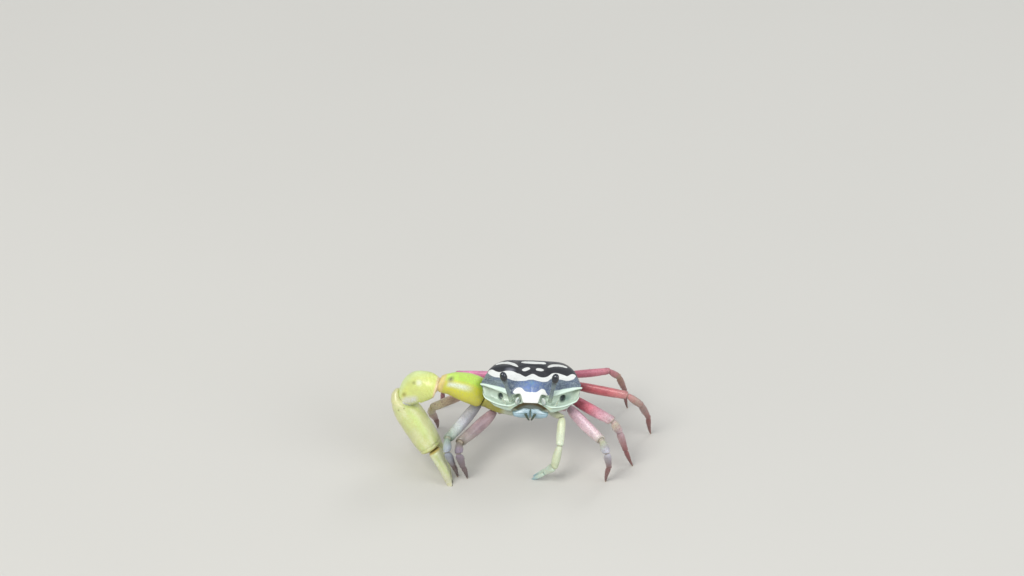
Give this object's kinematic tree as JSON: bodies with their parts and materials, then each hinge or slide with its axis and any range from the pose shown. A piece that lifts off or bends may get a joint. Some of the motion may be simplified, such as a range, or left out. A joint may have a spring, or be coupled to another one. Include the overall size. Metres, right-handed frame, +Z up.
{
  "type": "fiddler crab",
  "caption": "Life-size male fiddler crab standing on its legs, right claw greatly enlarged and held out with its tip on the floor, banded shell and raised eyes.",
  "frame": {"origin": "on the floor, under the middle of the box round the whole animal", "axes": "+X to the animal's left along the widest span, -Y the way it faces, +Z up"},
  "size_m": [0.0466, 0.0234, 0.0215],
  "materials": {
    "shell": "hard dark slate shell with white bands, slightly wet",
    "underside": "smooth pale shell",
    "mouthpart": "smooth pale blue shell",
    "eyestalk": "smooth grey-green stalk",
    "eye": "glossy black eye",
    "feeler": "fine pale feeler",
    "great_claw": "hard yellow shell, finely grained, slightly wet",
    "small_claw": "smooth cream shell",
    "leg": "smooth pink to red-brown shell"
  },
  "bodies": {
    "root": {"abdomen": "underside", "antenna_left": "feeler", "antenna_right": "feeler", "antennule_left": "feeler", "antennule_right": "feeler", "carapace": "shell", "claw_carpus": "great_claw", "claw_dactyl": "great_claw", "claw_manus": "great_claw", "claw_merus": "great_claw", "eye_left": "eye", "eye_right": "eye", "eyestalk_left": "eyestalk", "eyestalk_right": "eyestalk", "leg_2_left_carpus": "leg", "leg_2_left_dactyl": "leg", "leg_2_left_merus": "leg", "leg_2_left_propodus": "leg", "leg_2_right_carpus": "leg", "leg_2_right_dactyl": "leg", "leg_2_right_merus": "leg", "leg_2_right_propodus": "leg", "leg_3_left_carpus": "leg", "leg_3_left_dactyl": "leg", "leg_3_left_merus": "leg", "leg_3_left_propodus": "leg", "leg_3_right_carpus": "leg", "leg_3_right_dactyl": "leg", "leg_3_right_merus": "leg", "leg_3_right_propodus": "leg", "leg_4_left_carpus": "leg", "leg_4_left_dactyl": "leg", "leg_4_left_merus": "leg", "leg_4_left_propodus": "leg", "leg_4_right_carpus": "leg", "leg_4_right_dactyl": "leg", "leg_4_right_merus": "leg", "leg_4_right_propodus": "leg", "leg_5_left_carpus": "leg", "leg_5_left_dactyl": "leg", "leg_5_left_merus": "leg", "leg_5_left_propodus": "leg", "leg_5_right_carpus": "leg", "leg_5_right_dactyl": "leg", "leg_5_right_merus": "leg", "leg_5_right_propodus": "leg", "maxilliped_left": "mouthpart", "maxilliped_right": "mouthpart", "small_claw_carpus": "small_claw", "small_claw_dactyl": "small_claw", "small_claw_fixed_finger": "small_claw", "small_claw_manus": "small_claw", "small_claw_merus": "small_claw", "sternum": "underside"}
  },
  "joints": []
}
